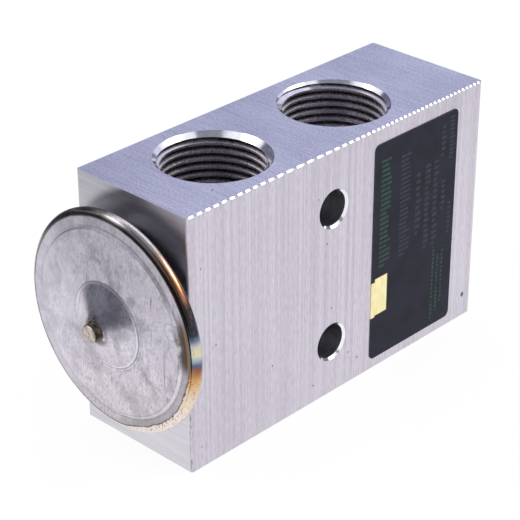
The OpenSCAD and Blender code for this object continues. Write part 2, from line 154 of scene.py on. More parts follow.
# Camera
EYE = (-0.21987, -0.20365, 0.18651)
EYE_FORWARD = (0.6323, 0.6057, -0.4830)
EYE_RIGHT = (0.6914, -0.7225, -0.0008)
LENS = 131.34

# Lamps as name, azimuth and elevation in degrees, distance, width, height and power
LAMPS = (
    ("front_lamp", -42, 40, 0.9, 0.5, 0.35, 1.5),
    ("back_lamp", 135, 42, 0.9, 0.4, 0.3, 1.0),
)
# Cards that only reflections see, as name, span of azimuth, span of elevation, distance and colour
CARDS = (
    ("back_right_low_card", (-6, 90), (0, 25), 0.2, (0.19, 0.195, 0.25)),
    ("back_right_high_card", (42, 90), (25, 62), 0.2, (0.58, 0.59, 0.74)),
    ("right_high_card", (-6, 42), (25, 62), 0.2, (0.7, 0.71, 0.86)),
    ("back_card", (66, 126), (25, 42), 0.19, (0.14, 0.14, 0.19)),
    ("right_card", (-34, -6), (0, 36), 0.2, (0.2, 0.2, 0.26)),
    ("camera_side_card", (196, 272), (34, 70), 1.3, (0.26, 0.26, 0.31)),
    ("ceiling_card", (0, 360), (64, 90), 0.6, (0.24, 0.245, 0.3)),
    ("back_left_card", (98, 200), (0, 26), 0.14, (0.13, 0.135, 0.165)),
)
# Light of the room on the object, where 1 is white
ROOM_LEVEL = 0.95
# Floor: how far it lies under the block, how bright it shows, and how far that hides its shadows
FLOOR_DROP = 0.02 * MM
FLOOR_GLOW = 1.03
FLOOR_WHITE = 0.9


class Value:
    """A number that varies over a surface or from ray to ray; arithmetic on it adds Math nodes."""

    def __init__(self, nodes, socket):
        self.nodes = nodes
        self.socket = socket

    def _math(self, operation, first, second=None):
        values = {0: first} if second is None else {0: first, 1: second}
        node = self.nodes.add("ShaderNodeMath", {"operation": operation}, values)
        return Value(self.nodes, node.outputs[0])

    def __add__(self, other):
        return self._math("ADD", self, other)

    __radd__ = __add__

    def __sub__(self, other):
        return self._math("SUBTRACT", self, other)

    def __rsub__(self, other):
        return self._math("SUBTRACT", other, self)

    def __mul__(self, other):
        return self._math("MULTIPLY", self, other)

    __rmul__ = __mul__

    def __truediv__(self, other):
        return self._math("DIVIDE", self, other)

    def __rtruediv__(self, other):
        return self._math("DIVIDE", other, self)

    def __pow__(self, other):
        return self._math("POWER", self, other)

    def most(self, other):
        return self._math("MAXIMUM", self, other)

    def size(self):
        return self._math("ABSOLUTE", self)

    def wave(self):
        return self._math("SINE", self)

    def part(self):
        return self._math("FRACT", self)

    def angle(self, other):
        return self._math("ARCTAN2", self, other)

    def between(self, low, high):
        """0 at low, 1 at high, smooth between them and level beyond them."""
        node = self.nodes.add(
            "ShaderNodeMapRange",
            {"interpolation_type": "SMOOTHSTEP"},
            {"Value": self, "From Min": low, "From Max": high},
        )
        return Value(self.nodes, node.outputs["Result"])


class Nodes:
    """A node tree that is filled a line at a time."""

    def __init__(self, tree):
        self.tree = tree

    def add(self, kind, settings=None, inputs=None):
        """Adds a node: its settings first, then a value or a link for each of its sockets."""
        node = self.tree.nodes.new(kind)
        for name, setting in (settings or {}).items():
            if name == "stops":
                while len(node.color_ramp.elements) < len(setting):
                    node.color_ramp.elements.new(0.5)
                for stop, (position, colour) in zip(node.color_ramp.elements, setting):
                    stop.position = position
                    stop.color = (*colour, 1.0)
            else:
                setattr(node, name, setting)
        for name, value in (inputs or {}).items():
            self.feed(node.inputs[name], value)
        return node

    def feed(self, socket, value):
        """Links a value or a socket to a socket, or sets a plain number or colour on it."""
        if isinstance(value, Value):
            value = value.socket
        if isinstance(value, bpy.types.NodeSocket):
            self.tree.links.new(value, socket)
        elif socket.type == "RGBA":
            socket.default_value = (*value[:3], 1.0)
        else:
            socket.default_value = value

    def seen_rays(self):
        """1 for rays that show the background: the camera's, reflected ones and those through glass."""
        path = self.add("ShaderNodeLightPath")
        camera, glossy, through = (
            Value(self, path.outputs[f"Is {kind} Ray"]) for kind in ("Camera", "Glossy", "Transmission")
        )
        return camera.most(glossy).most(through)


class Finish(Nodes):
    """A procedural material that is written as a few lines of sums."""

    def __init__(self, name):
        self.material = bpy.data.materials.new(name)
        self.material.use_nodes = True
        super().__init__(self.material.node_tree)
        self.shader = self.tree.nodes["Principled BSDF"]
        self.place = self.add("ShaderNodeTexCoord").outputs["Object"]
        split = self.add("ShaderNodeSeparateXYZ", {}, {0: self.place})
        self.x, self.y, self.z = (Value(self, output) for output in split.outputs)

    def where(self, scale, turn=(0, 0, 0)):
        """The place on the object, stretched, then turned."""
        node = self.add(
            "ShaderNodeMapping",
            {"vector_type": "POINT"},
            {"Vector": self.place, "Rotation": turn, "Scale": scale},
        )
        return node.outputs[0]

    def noise(self, scale, stretch=(1, 1, 1), turn=(0, 0, 0), detail=3.0, rough=0.5, warp=0.0):
        """Soft noise from 0 to 1, with features about 1 / scale metres across."""
        place = self.where(tuple(scale * s for s in stretch), turn)
        node = self.add(
            "ShaderNodeTexNoise",
            {},
            {"Vector": place, "Scale": 1.0, "Detail": detail, "Roughness": rough, "Distortion": warp},
        )
        return Value(self, node.outputs[0])

    def cells(self, scale):
        """Distance to the nearest of scattered points, in cells of 1 / scale metres."""
        place = self.where((scale, scale, scale))
        node = self.add("ShaderNodeTexVoronoi", {"feature": "F1"}, {"Vector": place, "Scale": 1.0})
        return Value(self, node.outputs["Distance"])

    def mix(self, share, first, second):
        """First colour where share is 0, second where it is 1."""
        node = self.add(
            "ShaderNodeMix",
            {"data_type": "RGBA"},
            {0: share, 6: first, 7: second},
        )
        return node.outputs[2]

    def ramp(self, value, stops):
        node = self.add("ShaderNodeValToRGB", {"stops": stops}, {0: value})
        return node.outputs[0]

    def bump(self, height, distance):
        """Height is in shares of the distance, which is in metres."""
        node = self.add("ShaderNodeBump", {}, {"Height": height, "Distance": distance, "Strength": 1.0})
        return node.outputs[0]

    def skin(self, **sockets):
        """Sets or links the shader's own sockets, such as Base_Color or Roughness."""
        for name, value in sockets.items():
            self.feed(self.shader.inputs[name.replace("_", " ")], value)
        return self.material


def drawn_aluminium():
    """Extruded side of the bar: fine lines along Z, broad soft bands, nicks and a few specks."""
    f = Finish("drawn_aluminium")
    fine = f.noise(4200, (1, 1, 0.004), detail=2.0)
    lines = f.noise(1500, (1, 1, 0.005), detail=3.0)
    bands = f.noise(230, (1, 1, 0.05), detail=2.0)
    cloud = f.noise(45, (1, 1, 0.6), detail=3.0)
    grain = f.noise(3200, (1, 1, 0.2), detail=3.0)
    speck = 1 - f.cells(260).between(0.035, 0.075)
    tone = fine * 0.28 + lines * 0.24 + bands * 0.08 + cloud * 0.12 + grain * 0.28
    colour = f.mix(tone.between(0.36, 0.64), (0.51, 0.48, 0.545), (0.72, 0.68, 0.76))
    score = lines.between(0.68, 0.76)
    colour = f.mix(score * 0.45, colour, (0.36, 0.34, 0.38))
    colour = f.mix(speck * cloud.between(0.5, 0.62), colour, (0.2, 0.19, 0.21))
    nick = spots(f, FRONT_NICKS)
    corner = (HEAD_END + 0.6 * MM - f.x).between(0, 0.3 * MM) * (1 - f.z.between(16 * MM, 24 * MM))
    burr = corner * f.noise(4500, (1, 1, 0.14), detail=2.0).between(0.56, 0.64)
    colour = f.mix(nick.most(burr * 0.7), colour, (0.13, 0.12, 0.13))
    height = fine * 0.3 + lines * 0.5 + grain * 0.2 - nick
    return f.skin(
        Base_Color=colour,
        Metallic=1.0,
        Roughness=0.34 + 0.16 * lines,
        Normal=f.bump(height, 0.000012),
    )


def spots(f, places):
    """Small round marks on the front face, as where each lies from the head end, its height and radius."""
    mask = None
    for along, height, radius in places:
        across = (f.x - (HEAD_END + along * MM)) / (radius * MM)
        up = (f.z - height * MM) / (1.3 * radius * MM)
        mark = 1 - (across * across + up * up).between(0.5, 1.3)
        mask = mark if mask is None else mask.most(mark)
    return mask * (1 - f.y.between(FRONT + 0.1 * MM, FRONT + 0.2 * MM))


def milled_aluminium():
    """Top and bottom: fine slanting cutter lines in a bluish grey."""
    f = Finish("milled_aluminium")
    slant = (0, 0, math.radians(24))
    cross = (0, 0, math.radians(-62))
    fine = f.noise(4200, (1, 0.03, 1), slant, detail=2.0)
    lines = f.noise(1500, (1, 0.05, 1), slant, detail=2.0)
    drag = f.noise(2600, (1, 0.06, 1), cross, detail=2.0)
    grain = f.noise(2700, detail=3.0)
    cloud = f.noise(60, detail=3.0)
    specks = 1 - f.cells(330).between(0.04, 0.09)
    tone = fine * 0.12 + lines * 0.1 + drag * 0.16 + grain * 0.42 + cloud * 0.2
    colour = f.mix(tone.between(0.38, 0.62), (0.48, 0.485, 0.62), (0.76, 0.765, 0.91))
    colour = f.mix(specks * cloud.between(0.5, 0.6), colour, (0.16, 0.16, 0.2))
    return f.skin(
        Base_Color=colour,
        Metallic=1.0,
        Roughness=0.36 + 0.12 * lines,
        Normal=f.bump(fine * 0.4 + drag * 0.3 + grain * 0.3, 0.00001),
    )


def faced_aluminium():
    """Ends of the block: faced smooth, so they mirror what stands close to them."""
    f = Finish("faced_aluminium")
    lines = f.noise(2200, (1, 0.04, 1), (math.radians(8), 0, 0), detail=2.0)
    cloud = f.noise(70, detail=3.0)
    tone = lines * 0.6 + cloud * 0.4
    colour = f.mix(tone.between(0.3, 0.7), (0.62, 0.6, 0.65), (0.74, 0.72, 0.77))
    return f.skin(
        Base_Color=colour,
        Metallic=1.0,
        Roughness=0.3 + 0.08 * cloud,
        Normal=f.bump(lines, 0.000004),
    )


def chamfer_aluminium():
    """Bright cut of the port mouths, the hole mouths and the chattered edge."""
    f = Finish("chamfer_aluminium")
    cloud = f.noise(500, detail=3.0)
    streak = f.noise(900, (1, 1, 3), detail=2.0)
    colour = f.mix((cloud * 0.6 + streak * 0.4).between(0.3, 0.7), (0.8, 0.8, 0.88), (0.96, 0.96, 1.0))
    return f.skin(
        Base_Color=colour,
        Metallic=1.0,
        Roughness=0.1 + 0.08 * cloud,
        Normal=f.bump(f.noise(4000, detail=2.0), 0.000003),
    )


def thread_aluminium():
    """Cut threads: bright torn crests, and valleys painted dark as the shade that falls in them."""
    f = Finish("thread_aluminium")
    torn = f.noise(2600, (1, 1, 0.5), detail=4.0, rough=0.7)
    cloud = f.noise(180, detail=2.0)
    valley = None
    for x in (SUCTION_X, LIQUID_X):
        away = ((f.x - x) ** 2 + f.y * f.y) ** 0.5
        deep = away.between(9.36 * MM, 9.94 * MM) * (1 - away.between(10.4 * MM, 10.6 * MM))
        valley = deep if valley is None else valley.most(deep)
    colour = f.mix((torn * 0.6 + cloud * 0.4).between(0.3, 0.7), (0.76, 0.71, 0.77), (0.93, 0.885, 0.93))
    # Painted shade: the thread valleys are darkened by their distance from the port's axis
    colour = f.mix(valley, colour, (0.15, 0.144, 0.16))
    return f.skin(
        Base_Color=colour,
        Metallic=1.0,
        Roughness=0.2 + 0.16 * torn,
        Normal=f.bump(torn, 0.000016),
    )


def drilled_aluminium():
    """Drilled and bored walls: darker, with fine rings."""
    f = Finish("drilled_aluminium")
    rings = f.noise(1500, (0.3, 1, 0.3), detail=2.0)
    cloud = f.noise(200, detail=3.0)
    colour = f.mix((rings * 0.5 + cloud * 0.5).between(0.3, 0.7), (0.44, 0.44, 0.47), (0.62, 0.62, 0.66))
    return f.skin(
        Base_Color=colour,
        Metallic=1.0,
        Roughness=0.3 + 0.15 * cloud,
        Normal=f.bump(rings, 0.00001),
    )


def small_metal(name, dark, light, roughness):
    """Turned or drawn metal of the small pieces inside."""
    f = Finish(name)
    cloud = f.noise(300, detail=3.0)
    fine = f.noise(1500, (0.2, 1, 1), detail=2.0)
    colour = f.mix((cloud * 0.5 + fine * 0.5).between(0.3, 0.7), dark, light)
    return f.skin(
        Base_Color=colour,
        Metallic=1.0,
        Roughness=roughness + 0.12 * fine,
        Normal=f.bump(fine, 0.000006),
    )


def seal_rubber():
    """Smooth moulded rubber of the seal rings."""
    f = Finish("seal_rubber")
    cloud = f.noise(900, detail=3.0)
    colour = f.mix(cloud, (0.012, 0.014, 0.016), (0.035, 0.038, 0.042))
    return f.skin(Base_Color=colour, Roughness=0.45 + 0.2 * cloud, Normal=f.bump(cloud, 0.00001))


def block_finishes():
    """Every finish of the block, in the order that its slots are named in."""
    return [
        drawn_aluminium(), milled_aluminium(), faced_aluminium(), chamfer_aluminium(),
        thread_aluminium(), drilled_aluminium(),
    ]


def add_object(name, data):
    """Puts a mesh, a lamp or a camera into the scene."""
    thing = bpy.data.objects.new(name, data)
    bpy.context.scene.collection.objects.link(thing)
    return thing


def add_mesh(name, bm):
    """Puts a finished shape into the scene."""
    mesh = bpy.data.meshes.new(name)
    bm.to_mesh(mesh)
    bm.free()
    return add_object(name, mesh)


def new_piece(name, bm, finishes, body, node):
    """Makes a piece of a shape in place, with its finishes, and lets it stand for a CAD node.
    A piece without a body is not attached to one."""
    piece = add_mesh(name, bm)
    for finish in finishes:
        piece.data.materials.append(finish)
    if body:
        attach(piece, body)
    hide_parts(node)
    return piece


def soften(piece, degrees):
    """Smooth shading that keeps edges sharper than the angle."""
    piece.data.shade_smooth()
    piece.data.set_sharp_from_angle(angle=math.radians(degrees))


def chain(bm, points):
    """A row of vertices joined by edges, from (x, y, z) points in metres."""
    row = [bm.verts.new(point) for point in points]
    edges = [bm.edges.new(pair) for pair in zip(row, row[1:])]
    return row + edges


def spun(points, steps):
    """A closed shape turned about Z from a profile that ends on Z or where it started."""
    bm = bmesh.new()
    line = chain(bm, points)
    bmesh.ops.spin(
        bm, geom=line, cent=(0, 0, 0), axis=(0, 0, 1), angle=math.tau, steps=steps, use_merge=True
    )
    bmesh.ops.remove_doubles(bm, verts=bm.verts, dist=SAME_POINT)
    bmesh.ops.dissolve_degenerate(bm, edges=bm.edges, dist=SAME_POINT / 10)
    bmesh.ops.recalc_face_normals(bm, faces=bm.faces)
    return bm


def box(size, middle):
    """A plain block of a size about its middle."""
    bm = bmesh.new()
    bmesh.ops.create_cube(bm, size=1.0, matrix=Matrix.Translation(middle) @ Matrix.Diagonal((*size, 1)))
    return bm


def bevel_edges(bm, edges, width, segments):
    bmesh.ops.bevel(
        bm, geom=edges, offset=width, offset_type="OFFSET", affect="EDGES", segments=segments,
        profile=0.5, material=-1,
    )


def to_port(bm, x, top):
    """Moves a shape that stands under the origin to a port in the block's top or bottom."""
    place = Matrix.Translation((x, 0, BLOCK_HEIGHT))
    if not top:
        place = Matrix.Translation((x, 0, 0)) @ Matrix.Rotation(math.pi, 4, "X")
    bmesh.ops.transform(bm, matrix=place, verts=bm.verts)


def thread_cutter(x, top, start=0):
    """A tap of the port thread: its profile spun once round with a pitch of lead, then cut off flat.
    Its start is the angle in degrees by which it is turned."""
    crest = THREAD_PITCH / 4
    root = THREAD_PITCH / 8
    flank = (THREAD_PITCH - crest - root) / 2
    inset = 0.1 * MM
    lead_in = flank * inset / (THREAD_MAJOR_R - THREAD_MINOR_R)
    turns = 11
    points = []
    low = -PORT_DEPTH - 2 * THREAD_PITCH
    for turn in range(turns + 1):
        z = low + turn * THREAD_PITCH
        points.append((THREAD_MINOR_R - inset, 0, z + lead_in))
        points.append((THREAD_MINOR_R - inset, 0, z + crest - lead_in))
        points.append((THREAD_MAJOR_R, 0, z + crest + flank))
        points.append((THREAD_MAJOR_R, 0, z + crest + flank + root))
    bm = bmesh.new()
    line = chain(bm, points)
    bmesh.ops.spin(
        bm, geom=line, cent=(0, 0, 0), axis=(0, 0, 1), dvec=(0, 0, THREAD_PITCH / PORT_STEPS),
        angle=math.tau, steps=PORT_STEPS, use_merge=False,
    )
    bmesh.ops.remove_doubles(bm, verts=bm.verts, dist=10 * SAME_POINT)
    for height, way in ((0.3 * MM, 1), (-THREAD_END, -1)):
        bmesh.ops.bisect_plane(
            bm, geom=[*bm.verts, *bm.edges, *bm.faces], dist=SAME_POINT, plane_co=(0, 0, height),
            plane_no=(0, 0, way), clear_outer=True,
        )
        rim = [e for e in bm.edges if e.is_boundary and abs(e.verts[0].co.z - height) < 10 * SAME_POINT]
        bmesh.ops.contextual_create(bm, geom=rim)
    bmesh.ops.recalc_face_normals(bm, faces=bm.faces)
    bmesh.ops.rotate(
        bm, cent=(0, 0, 0), matrix=Matrix.Rotation(math.radians(start), 3, "Z"), verts=bm.verts
    )
    to_port(bm, x, top)
    return add_mesh("tap", bm)


def mouth_cutter(x, top):
    """The chamfered mouth and the plain bore of a port."""
    over = 1.0 * MM
    bevel = PORT_MOUTH_R - THREAD_MINOR_R
    bm = spun(
        [(0, 0, over), (PORT_MOUTH_R + over, 0, over), (THREAD_MINOR_R, 0, -bevel),
         (THREAD_MINOR_R, 0, -PORT_DEPTH), (0, 0, -PORT_DEPTH)],
        PORT_STEPS,
    )
    to_port(bm, x, top)
    return add_mesh("mouth", bm)


def passage_cutter():
    """The suction passage, which joins the two suction ports."""
    low = 5 * MM
    high = BLOCK_HEIGHT - low
    bm = spun([(0, 0, low), (PASSAGE_R, 0, low), (PASSAGE_R, 0, high), (0, 0, high)], 96)
    bmesh.ops.translate(bm, vec=(SUCTION_X, 0, 0), verts=bm.verts)
    return add_mesh("passage", bm)


def bolt_cutter(height):
    """A fixing hole with its two chamfered mouths."""
    half = BLOCK_THICKNESS / 2
    over = 1.0 * MM
    wide = BOLT_R + BOLT_CHAMFER
    bm = spun(
        [(0, 0, -half - over), (wide + over, 0, -half - over), (BOLT_R, 0, -half + BOLT_CHAMFER),
         (BOLT_R, 0, half - BOLT_CHAMFER), (wide + over, 0, half + over), (0, 0, half + over)],
        64,
    )
    turn = Matrix.Translation((BOLT_X, 0, height)) @ Matrix.Rotation(math.pi / 2, 4, "X")
    bmesh.ops.transform(bm, matrix=turn, verts=bm.verts)
    return add_mesh("bolt", bm)


def axis_cutter():
    """Every bore on the valve axis as one stepped cutter."""
    at = HEAD_END - 1.0 * MM
    points = [(0, 0, at)]
    for end, radius in AXIS_BORES:
        points.append((radius * MM, 0, at))
        points.append((radius * MM, 0, end * MM))
        at = end * MM
    points.append((0, 0, at))
    bm = spun(points, 64)
    turn = Matrix.Translation((0, 0, AXIS_HEIGHT)) @ Matrix.Rotation(math.pi / 2, 4, "Y")
    bmesh.ops.transform(bm, matrix=turn, verts=bm.verts)
    return add_mesh("axis", bm)


def way_cutter(way, low, high):
    """A drilled way between a liquid port and the valve axis."""
    x, radius = way
    bm = spun([(0, 0, low), (radius, 0, low), (radius, 0, high), (0, 0, high)], 32)
    bmesh.ops.translate(bm, vec=(x, 0, 0), verts=bm.verts)
    return add_mesh("way", bm)


def chatter_places():
    """Middle and length of each chatter mark along X, in millimetres."""
    marks = []
    at = CHATTER[0][0]
    while at < CHATTER[-1][0]:
        for (x0, p0), (x1, p1) in zip(CHATTER, CHATTER[1:]):
            if x0 <= at <= x1:
                pitch = p0 + (p1 - p0) * (at - x0) / (x1 - x0)
        marks.append((at + pitch / 2, pitch))
        at += pitch
    return marks


def chatter_cutter():
    """A row of short hollows across the front top edge, as a chattering cutter leaves it."""
    lean = 1 / math.sqrt(2)
    out = Vector((0, -lean, lean))
    across = Vector((0, lean, lean))
    reach = 1.5 * MM
    corner = Vector((0, FRONT, BLOCK_HEIGHT)) - across * reach
    before = corner + Vector((HEAD_END - 2 * MM, 0, 0))
    past = corner + Vector((SCREW_END + 2 * MM, 0, 0))
    steps = 10
    row = []
    for middle, pitch in chatter_places():
        for step in range(steps):
            share = 2 * step / steps - 1
            depth = CHATTER_DEPTH * max(0, 1 - (share / CHATTER_SHARE) ** 4)
            row.append(corner - out * depth + Vector(((middle + share * pitch / 2) * MM, 0, 0)))
    row += [past, past + out * MM, before + out * MM, before]
    bm = bmesh.new()
    face = bm.faces.new([bm.verts.new(point) for point in row])
    sides = bmesh.ops.extrude_face_region(bm, geom=[face])
    moved = [item for item in sides["geom"] if isinstance(item, bmesh.types.BMVert)]
    bmesh.ops.translate(bm, vec=across * 2 * reach, verts=moved)
    bmesh.ops.recalc_face_normals(bm, faces=bm.faces)
    return add_mesh("chatter", bm)


def finish_of(face):
    """Which finish a face of the block takes, told from where it lies."""
    middle = face.center
    normal = face.normal
    flush = 0.01 * MM
    facing = 0.9
    depth = min(middle.z, BLOCK_HEIGHT - middle.z)
    inward = BLOCK_THICKNESS / 2 - abs(middle.y)
    if abs(abs(middle.x) - SCREW_END) < flush and abs(normal.x) > facing:
        return FACED
    if depth < flush and abs(normal.z) > facing:
        return MILLED
    if inward < 0.7 * MM and abs(normal.z) < 0.1 and abs(middle.x - BOLT_X) > 5 * MM:
        return DRAWN
    if abs(inward) < flush:
        return DRAWN
    if inward < 0.8 * MM:
        return BRIGHT
    for x in (SUCTION_X, LIQUID_X):
        away = math.hypot(middle.x - x, middle.y)
        if abs(normal.z) > 0.6 and depth < 1.1 * MM and away < PORT_MOUTH_R:
            return BRIGHT
        if THREAD_MINOR_R - 0.05 * MM < away < PORT_MOUTH_R and depth < PORT_DEPTH - flush:
            return THREADED
    return DRILLED


def tapped_block():
    """The cut length of bar with its chattered edge, tapped ports and every bore."""
    bm = box((BLOCK_LENGTH, BLOCK_THICKNESS, BLOCK_HEIGHT), (0, 0, BLOCK_HEIGHT / 2))
    upright = [e for e in bm.edges if abs(e.verts[0].co.z - e.verts[1].co.z) > MM]
    bevel_edges(bm, upright, BAR_RADIUS, 4)
    long = [e for e in bm.edges if e.calc_length() > BLOCK_LENGTH - 2 * MM]
    long = [e for e in long if e.verts[0].co.z < MM or e.verts[0].co.y > 0]
    bevel_edges(bm, long, EDGE_CHAMFER, 1)
    bmesh.ops.recalc_face_normals(bm, faces=bm.faces)
    block = new_piece("tapped_block", bm, block_finishes(), "block", "valve_block")
    cutters = [
        axis_cutter(),
        way_cutter(OUTLET_WAY, AXIS_HEIGHT, BLOCK_HEIGHT - PORT_DEPTH + MM),
        way_cutter(INLET_WAY, PORT_DEPTH - MM, AXIS_HEIGHT),
        bolt_cutter(BOLT_HEIGHTS[0]), bolt_cutter(BOLT_HEIGHTS[1]),
        passage_cutter(),
        chatter_cutter(),
        mouth_cutter(SUCTION_X, True), mouth_cutter(SUCTION_X, False),
        mouth_cutter(LIQUID_X, True), mouth_cutter(LIQUID_X, False),
        thread_cutter(SUCTION_X, True), thread_cutter(SUCTION_X, False),
        thread_cutter(LIQUID_X, True, LIQUID_THREAD_START), thread_cutter(LIQUID_X, False),
    ]
    cut_away(block, cutters)
    soften(block, 28)
    level = 0.9999
    for face in block.data.polygons:
        face.material_index = finish_of(face)
        face.use_smooth = max(abs(share) for share in face.normal) < level


def cut_away(piece, cutters):
    """Cuts closed shapes out of a piece, one by one, and closes the skin after each cut."""
    for tool in cutters:
        cut = piece.modifiers.new("cut", "BOOLEAN")
        cut.operation = "DIFFERENCE"
        cut.solver = "EXACT"
        cut.object = tool
        graph = bpy.context.evaluated_depsgraph_get()
        mesh = bpy.data.meshes.new_from_object(piece.evaluated_get(graph))
        piece.modifiers.clear()
        close_seams(mesh)
        old = piece.data
        piece.data = mesh
        bpy.data.meshes.remove(old)
        bpy.data.meshes.remove(tool.data)


def close_seams(mesh):
    """Merges the doubled points that a cut leaves, and fills the slits between them."""
    bm = bmesh.new()
    bm.from_mesh(mesh)
    bmesh.ops.remove_doubles(bm, verts=bm.verts, dist=3 * SAME_POINT)
    bmesh.ops.dissolve_degenerate(bm, edges=bm.edges, dist=SAME_POINT)
    bmesh.ops.holes_fill(bm, edges=bm.edges, sides=4)
    bmesh.ops.recalc_face_normals(bm, faces=bm.faces)
    bm.to_mesh(mesh)
    bm.free()


def rim_arc(steps):
    """Outside of the rolled rim, from its top round to its underside, as radius and distance out."""
    arc = []
    for step in range(steps + 1):
        turn = math.pi / 2 - math.pi * step / steps
        arc.append((RIM_R + RIM_ROUND * math.cos(turn), RIM_CENTRE + RIM_ROUND * math.sin(turn)))
    return arc


def on_head(bm):
    """Moves a shape that was turned about Z out of the end that carries the power element."""
    turn = Matrix.Translation((HEAD_END, 0, AXIS_HEIGHT)) @ Matrix.Rotation(-math.pi / 2, 4, "Y")
    bmesh.ops.transform(bm, matrix=turn, verts=bm.verts)


def rolled_cover():
    """Stamped outer cover with its raised field, cone and rolled rim."""
    under = FACE_STAND_OFF - COVER_SHEET
    flange = under - 0.2 * MM - COVER_SHEET
    lip = RIM_R - 0.6 * MM
    fold = RIM_R + 0.2 * MM
    outline = [
        (PLUG_HOLE_R, CONE_TOP - COVER_SHEET), (PLUG_HOLE_R, CONE_TOP), (CONE_TOP_R, CONE_TOP),
        (CONE_FOOT_R - 0.5 * MM, CONE_FOOT + 0.24 * MM), (CONE_FOOT_R, CONE_FOOT + 0.04 * MM),
        (CONE_FOOT_R + 0.4 * MM, CONE_FOOT - 0.02 * MM),
        (FIELD_R - 0.3 * MM, FIELD_EDGE), (FIELD_R, FACE_STAND_OFF), (RIM_R + 0.1 * MM, FACE_STAND_OFF),
    ]
    outline += rim_arc(16)
    outline += [
        (lip, RIM_CENTRE - RIM_ROUND), (lip, flange), (fold, flange), (fold, under),
        (FIELD_R - 0.3 * MM, under), (FIELD_R - 0.6 * MM, FIELD_EDGE - COVER_SHEET),
        (CONE_FOOT_R - 0.3 * MM, CONE_FOOT - COVER_SHEET),
        (CONE_TOP_R - 0.3 * MM, CONE_TOP - COVER_SHEET), (PLUG_HOLE_R, CONE_TOP - COVER_SHEET),
    ]
    bm = spun([(r, 0, u) for r, u in outline], 160)
    on_head(bm)
    piece = new_piece(
        "rolled_cover", bm, [cover_stainless()], "block", "outer_cover"
    )
    soften(piece, 24)


def ring(radius, middle, half, soft):
    """1 on a thin ring, given by its middle, half its width and how soft its edges are."""
    return 1 - (radius - middle * MM).size().between(half * MM, (half + soft) * MM)


def sector(turn, start, end, soft):
    """1 between two angles round the axis, in degrees from the front of the rim upwards."""
    low = turn.between(math.radians(start - soft), math.radians(start + soft))
    return low * (1 - turn.between(math.radians(end - soft), math.radians(end + soft)))


def cover_stainless():
    """Pickled face with smudges, stamp rings and fine marks, painted shade and highlight on its pressed
    step, and a bright rim with the weld's heat tint, painted highlights and painted dark reflections.
    """
    f = Finish("cover_stainless")
    f.height = f.z - AXIS_HEIGHT
    f.radius = (f.y * f.y + f.height * f.height) ** 0.5
    f.turn = f.height.angle(f.y * -1)
    f.mottle = f.noise(300, detail=5.0, rough=0.65)
    f.smudge = f.noise(95, detail=5.0, rough=0.65, warp=0.8)
    f.fine = f.noise(2300, (1, 1, 0.6), detail=3.0, rough=0.6)
    marks = scratches(f)
    step = ring(f.radius, 16.85, 0.14, 0.08)
    cone = 1 - f.radius.between(7.3 * MM, 7.7 * MM)
    gold = sector(f.turn, -78, -6, 8)
    torn = (f.noise(420, detail=4.0, rough=0.7) - 0.5) * (gold * (1.0 * MM) + 0.35 * MM)
    reach = f.radius + torn + gold * (0.5 * MM)
    rim = reach.between(19.0 * MM, 19.12 * MM)

    colour = pickled_face(f, marks)
    colour = pressed_lines(f, colour, step)
    colour = burnt_face(f, colour)
    colour = f.mix(ring(reach, 19.0, 0.05, 0.2) * 0.85, colour, (0.09, 0.075, 0.065))
    colour = f.mix(rim, colour, heated_rim(f, reach))
    colour = wiped_cone(f, colour, cone)
    return f.skin(
        Base_Color=colour,
        Metallic=1.0,
        Roughness=0.38 - 0.24 * rim - 0.15 * cone + 0.12 * f.fine + 0.15 * step,
        Normal=f.bump(f.mottle * 0.5 + f.fine * 0.5 - marks * 0.2, 0.00002),
    )


def scratches(f):
    """1 on the fine scratches, which show where the face is smudged."""
    scratch = f.noise(2000, (1, 1, 0.05), (math.radians(28), 0, 0), detail=2.0).between(0.66, 0.72)
    scrape = f.noise(1500, (1, 1, 0.07), (math.radians(-41), 0, 0), detail=2.0).between(0.66, 0.73)
    return scratch.most(scrape) * f.smudge.between(0.42, 0.6)


def pickled_face(f, marks):
    """Mottled grey of the cover's face, with smears, pits, scratches and grime."""
    tone = f.mottle * 0.34 + f.smudge * 0.46 + f.fine * 0.2
    colour = f.mix(tone.between(0.4, 0.6), (0.46, 0.435, 0.5), (0.86, 0.81, 0.91))
    smear = f.noise(150, (1, 1, 0.7), (math.radians(20), 0, 0), detail=4.0, rough=0.6, warp=1.5)
    colour = f.mix(smear.between(0.54, 0.66) * 0.5, colour, (0.34, 0.32, 0.35))
    colour = f.mix((1 - f.height.between(-14 * MM, 0)) * 0.25, colour, (0.85, 0.76, 0.76))
    low_half = 1 - f.height.between(-8 * MM, 8 * MM) * 0.65
    pits = f.noise(2900, (1, 1, 0.5), detail=2.0).between(0.56, 0.68)
    colour = f.mix(pits * low_half * 0.45, colour, (0.2, 0.18, 0.19))
    colour = f.mix(marks * 0.6, colour, (0.17, 0.155, 0.165))
    grime = f.smudge.between(0.5, 0.66) * f.mottle.between(0.4, 0.58)
    return f.mix(grime * 0.5, colour, (0.24, 0.225, 0.24))


